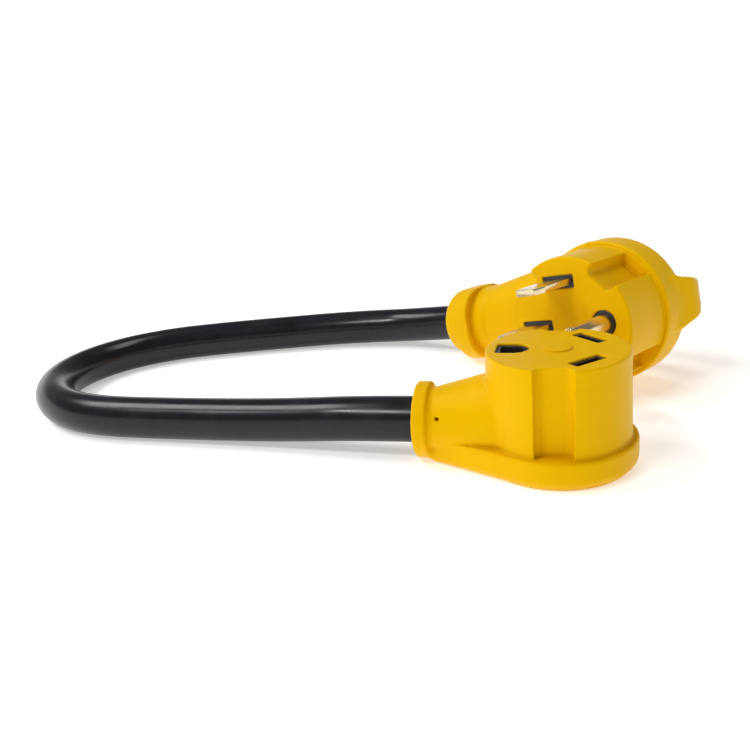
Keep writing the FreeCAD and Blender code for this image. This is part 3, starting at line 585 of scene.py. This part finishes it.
def yellow_vinyl():
    """Warm yellow moulded PVC: finely textured, with shade painted in as a deeper orange in its recesses."""
    item, tree, shader = new_material("yellow_vinyl", (0.78, 0.47, 0.002), 0.42)
    shader.inputs["Specular IOR Level"].default_value = 0.16
    shader.inputs["Specular Tint"].default_value = (1.0, 0.70, 0.10, 1)
    shader.inputs["Subsurface Weight"].default_value = 0.06
    shader.inputs["Subsurface Radius"].default_value = (1.0, 0.45, 0.05)
    shader.inputs["Subsurface Scale"].default_value = 0.003
    clouds = add_range(tree, add_noise(tree, 45.0), 0.0, 0.30)
    yellow = add_mix(tree, clouds, (0.82, 0.475, 0.0), (0.76, 0.40, 0.0))
    # painted shade: the yellow darkens towards a deep orange (0.60, 0.27, 0.002) where the surface is closed
    # in, at creases, grooves and corners
    recess_shade = tree.nodes.new("ShaderNodeAttribute")
    recess_shade.attribute_name = "recess_shade"
    depth = add_range(tree, recess_shade.outputs["Fac"], 0.0, 0.6, 0.15, 1.0)
    tree.links.new(add_mix(tree, depth, yellow, (0.60, 0.27, 0.002)), shader.inputs["Base Color"])
    grain = add_noise(tree, 1500.0, 2.0)
    tree.links.new(add_range(tree, add_noise(tree, 160.0), 0.36, 0.50), shader.inputs["Roughness"])
    add_bump(tree, shader, grain, 0.05, 0.5)
    return item


def black_vinyl():
    """The cable's jacket: smooth black PVC with a soft shine."""
    item, tree, shader = new_material("black_vinyl", (0.008, 0.008, 0.010), 0.22)
    shader.inputs["Specular IOR Level"].default_value = 0.32
    tone = add_range(tree, add_noise(tree, 90.0), 0.0, 1.0)
    tree.links.new(add_mix(tree, tone, (0.006, 0.006, 0.009), (0.010, 0.010, 0.015)),
                   shader.inputs["Base Color"])
    tree.links.new(add_range(tree, add_noise(tree, 90.0, 2.0), 0.20, 0.27), shader.inputs["Roughness"])
    add_bump(tree, shader, add_noise(tree, 260.0, 2.0), 0.03, 0.4)
    return item


def moulded_plastic(name, color, roughness=0.38):
    """Moulded plastic with a little tone and a fine skin."""
    item, tree, shader = new_material(name, color, roughness)
    tone = add_range(tree, add_noise(tree, 220.0), 0.0, 1.0)
    darker = tuple(0.8 * part for part in color)
    tree.links.new(add_mix(tree, tone, color, darker), shader.inputs["Base Color"])
    tree.links.new(add_range(tree, add_noise(tree, 400.0), roughness - 0.06, roughness + 0.08),
                   shader.inputs["Roughness"])
    add_bump(tree, shader, add_noise(tree, 1800.0, 2.0), 0.03, 0.5)
    return item


def rolled_metal(name, color, roughness, streak):
    """Bright metal with the fine streaks of rolling and handling."""
    item, tree, shader = new_material(name, color, roughness, 1.0)
    streaks = add_noise(tree, 120.0, 5.0, streak)
    dull = tuple(0.82 * part for part in color)
    tree.links.new(add_mix(tree, add_range(tree, add_noise(tree, 150.0), 0.0, 1.0), color, dull),
                   shader.inputs["Base Color"])
    tree.links.new(add_range(tree, streaks, roughness - 0.05, roughness + 0.10), shader.inputs["Roughness"])
    add_bump(tree, shader, streaks, 0.015, 0.5)
    return item


def fibrous(name, color, scale):
    """Paper tape or twisted fibre, dull and uneven."""
    item, tree, shader = new_material(name, color, 0.85)
    fibres = add_noise(tree, scale, 6.0, (1.0, 4.0, 4.0))
    darker = tuple(0.65 * part for part in color)
    tree.links.new(add_mix(tree, fibres, color, darker), shader.inputs["Base Color"])
    add_bump(tree, shader, fibres, 0.1)
    return item


def floor_paper():
    """A plain pale floor, which glows a little more towards its far edge, where less light reaches it."""
    item, tree, shader = new_material("floor_paper", (0.93, 0.93, 0.93), 0.9)
    tone = add_range(tree, add_noise(tree, 3.0), 0.0, 1.0)
    tree.links.new(add_mix(tree, tone, (0.93, 0.93, 0.93), (0.92, 0.92, 0.92)), shader.inputs["Base Color"])
    shader.inputs["Emission Color"].default_value = (1.0, 1.0, 1.0, 1)
    where = tree.nodes.new("ShaderNodeTexCoord").outputs["Object"]
    reach = tree.nodes.new("ShaderNodeVectorMath")
    reach.operation = "LENGTH"
    tree.links.new(where, reach.inputs[0])
    tree.links.new(add_range(tree, reach.outputs["Value"], 0.42, 0.80, 0.5, 2.0),
                   shader.inputs["Emission Strength"])
    return item


# ---------------------------------------------------------------- placing the pieces

def finish_piece(piece, material, nodes):
    """Gives a piece its material and its slot, and lets it stand for its CAD nodes."""
    piece.data.materials.clear()
    piece.data.materials.append(material)
    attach(piece, "root")
    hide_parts(*nodes)
    return piece


def softened(node, name, width, material):
    """A CAD node's shape with its edges rounded."""
    mesh = bmesh.new()
    mesh.from_mesh(frame["nodes"][node].data)
    bmesh.ops.remove_doubles(mesh, verts=mesh.verts, dist=1e-6)
    bmesh.ops.dissolve_limit(mesh, angle_limit=math.radians(0.5), verts=mesh.verts, edges=mesh.edges)
    data = bpy.data.meshes.new(name)
    mesh.to_mesh(data)
    mesh.free()
    data.polygons.foreach_set("use_smooth", [True] * len(data.polygons))
    piece = bpy.data.objects.new(name, data)
    bpy.context.collection.objects.link(piece)
    bevel = piece.modifiers.new("edges", "BEVEL")
    bevel.width = width * MM
    bevel.segments = 3
    bevel.limit_method = "ANGLE"
    bevel.angle_limit = math.radians(30)
    bevel.harden_normals = True
    return finish_piece(piece, material, [node])


def build_mouldings():
    """The two yellow mouldings."""
    vinyl = yellow_vinyl()
    socket = moulded("socket_moulding", socket_field, (-51, -29, -1.2), (29, 29, 43), 0.5, Matrix())
    finish_piece(socket, vinyl, ["socket_overmould"])
    plug = moulded("plug_moulding", plug_field, (-35, -31, -66), (80, 31, 2), 0.66, plug_place())
    finish_piece(plug, vinyl, ["plug_overmould"])


def build_fittings():
    """The black carriers, the blades and the contacts."""
    black = moulded_plastic("black_nylon", (0.022, 0.022, 0.026), 0.34)
    bright = rolled_metal("bright_brass", (0.86, 0.72, 0.46), 0.22, (1.0, 1.0, 6.0))
    spring = rolled_metal("spring_brass", (0.80, 0.62, 0.30), 0.24, (1.0, 6.0, 1.0))
    for node in ("socket_contact_carrier", "plug_blade_carrier"):
        softened(node, node + "_black", 0.2, black)
    for node in ("hot_blade_x", "hot_blade_y", "neutral_blade", "ground_pin"):
        softened(node, node + "_bright", 0.28, bright)
    for node in ("socket_line_contact", "socket_neutral_contact", "socket_ground_contact"):
        softened(node, node + "_spring", 0.12, spring)


def build_cable():
    """The jacket and everything laid up inside it."""
    line = route_line()
    jacket = tube("cable_sheath", line, CABLE_RADIUS, JACKET_BORE_RADIUS)
    finish_piece(jacket, black_vinyl(), ["cable_jacket"])
    wrap = tube("paper_tape", line, JACKET_BORE_RADIUS - 0.02, JACKET_BORE_RADIUS - WRAP_THICKNESS)
    finish_piece(wrap, fibrous("wrapping_paper", (0.80, 0.76, 0.66), 300.0), ["core_wrap"])
    jute = fibrous("jute", (0.52, 0.42, 0.24), 500.0)
    for number in range(3):
        path = laid_up(line, 30.0 + 120.0 * number, FILLER_OFFSET, (0.0, 0.0))
        filler = tube(f"jute_filler_{number + 1}", path[1:-1], FILLER_RADIUS, sides=14)
        finish_piece(filler, jute, [f"filler_cord_{number + 1}"])
    copper = rolled_metal("bare_copper", (0.86, 0.46, 0.30), 0.30, (1.0, 1.0, 8.0))
    colors = {"line": (0.016, 0.016, 0.016), "neutral": (0.80, 0.80, 0.77), "ground": (0.02, 0.24, 0.05)}
    for name, angle in CORE_ANGLES.items():
        cover = tube(f"{name}_cover", laid_up(line, angle, CORE_OFFSET, COVER_REACH[name]),
                     CORE_RADIUS, COPPER_RADIUS, sides=20)
        material = moulded_plastic(f"{name}_cover_plastic", colors[name])
        finish_piece(cover, material, [f"{name}_insulation"])
        wire = tube(f"{name}_copper", laid_up(line, angle, CORE_OFFSET, COPPER_REACH[name]),
                    COPPER_RADIUS - 0.02, sides=16)
        finish_piece(wire, copper, [f"{name}_conductor"])


# ---------------------------------------------------------------- floor, light and camera

def add_floor():
    """A pale round floor under the adapter that curves up at its far edge."""
    flat, bend, sides = 2.4, 0.9, 96
    profile = [(0.6, 0.0), (flat, 0.0)]
    for step in range(1, 17):
        turn = math.radians(5 * step)
        profile.append((flat + bend * math.sin(turn), bend - bend * math.cos(turn)))
    mesh = bmesh.new()
    rings = []
    for reach, level in profile:
        turns = [2 * math.pi * side / sides for side in range(sides)]
        rings.append([mesh.verts.new((reach * math.cos(a), reach * math.sin(a), level)) for a in turns])
    mesh.faces.new(rings[0])
    for inner, outer in zip(rings, rings[1:]):
        for side in range(sides):
            after = (side + 1) % sides
            mesh.faces.new((inner[side], outer[side], outer[after], inner[after])).smooth = True
    data = bpy.data.meshes.new("floor")
    mesh.to_mesh(data)
    mesh.free()
    data.materials.append(floor_paper())
    floor = bpy.data.objects.new("floor", data)
    bpy.context.collection.objects.link(floor)


def add_lamp(name, place, aim, size, power):
    """A soft oblong lamp that looks at a point."""
    data = bpy.data.lights.new(name, "AREA")
    data.shape = "RECTANGLE"
    data.size, data.size_y = size
    data.energy = power
    lamp = bpy.data.objects.new(name, data)
    bpy.context.collection.objects.link(lamp)
    lamp.location = place
    lamp.rotation_euler = (Vector(aim) - Vector(place)).to_track_quat("-Z", "Y").to_euler()


def add_lights():
    """A narrow strip from the front left, a soft key from the left, a weak lamp overhead, and a dim room."""
    world = bpy.data.worlds.new("studio")
    bpy.context.scene.world = world
    world.use_nodes = True
    world.node_tree.nodes["Background"].inputs["Color"].default_value = (1.0, 1.0, 1.0, 1.0)
    world.node_tree.nodes["Background"].inputs["Strength"].default_value = 0.18
    middle = (-0.06, 0.05, 0.02)
    add_lamp("strip", (-0.6, -0.62, 1.08), middle, (0.45, 0.07), 6.0)
    add_lamp("key", (-0.9, 0.05, 1.1), middle, (0.5, 0.5), 7.0)
    add_lamp("overhead", (0.1, 0.4, 1.2), middle, (0.7, 0.3), 3.0)


def add_camera():
    """The view: from in front, a little to the right and above, slightly rolled."""
    azimuth, elevation, roll = math.radians(16.2), math.radians(19.16), math.radians(4.86)
    level = Vector((math.cos(azimuth), math.sin(azimuth), 0))
    ahead = Vector((-math.sin(azimuth), math.cos(azimuth), 0)) * math.cos(elevation)
    ahead.z = -math.sin(elevation)
    upward = level.cross(ahead)
    right = level * math.cos(roll) - upward * math.sin(roll)
    data = bpy.data.cameras.new("camera")
    data.lens = 40.7
    data.sensor_width = 36.0
    data.clip_start = 0.01
    camera = bpy.data.objects.new("camera", data)
    bpy.context.collection.objects.link(camera)
    place = Matrix((right, right.cross(ahead), -ahead)).transposed().to_4x4()
    place.translation = (0.01574, -0.2714, 0.1280)
    camera.matrix_world = place
    bpy.context.scene.camera = camera


build_mouldings()
build_fittings()
build_cable()
add_floor()
add_lights()
add_camera()
bpy.context.scene.view_settings.view_transform = "Standard"
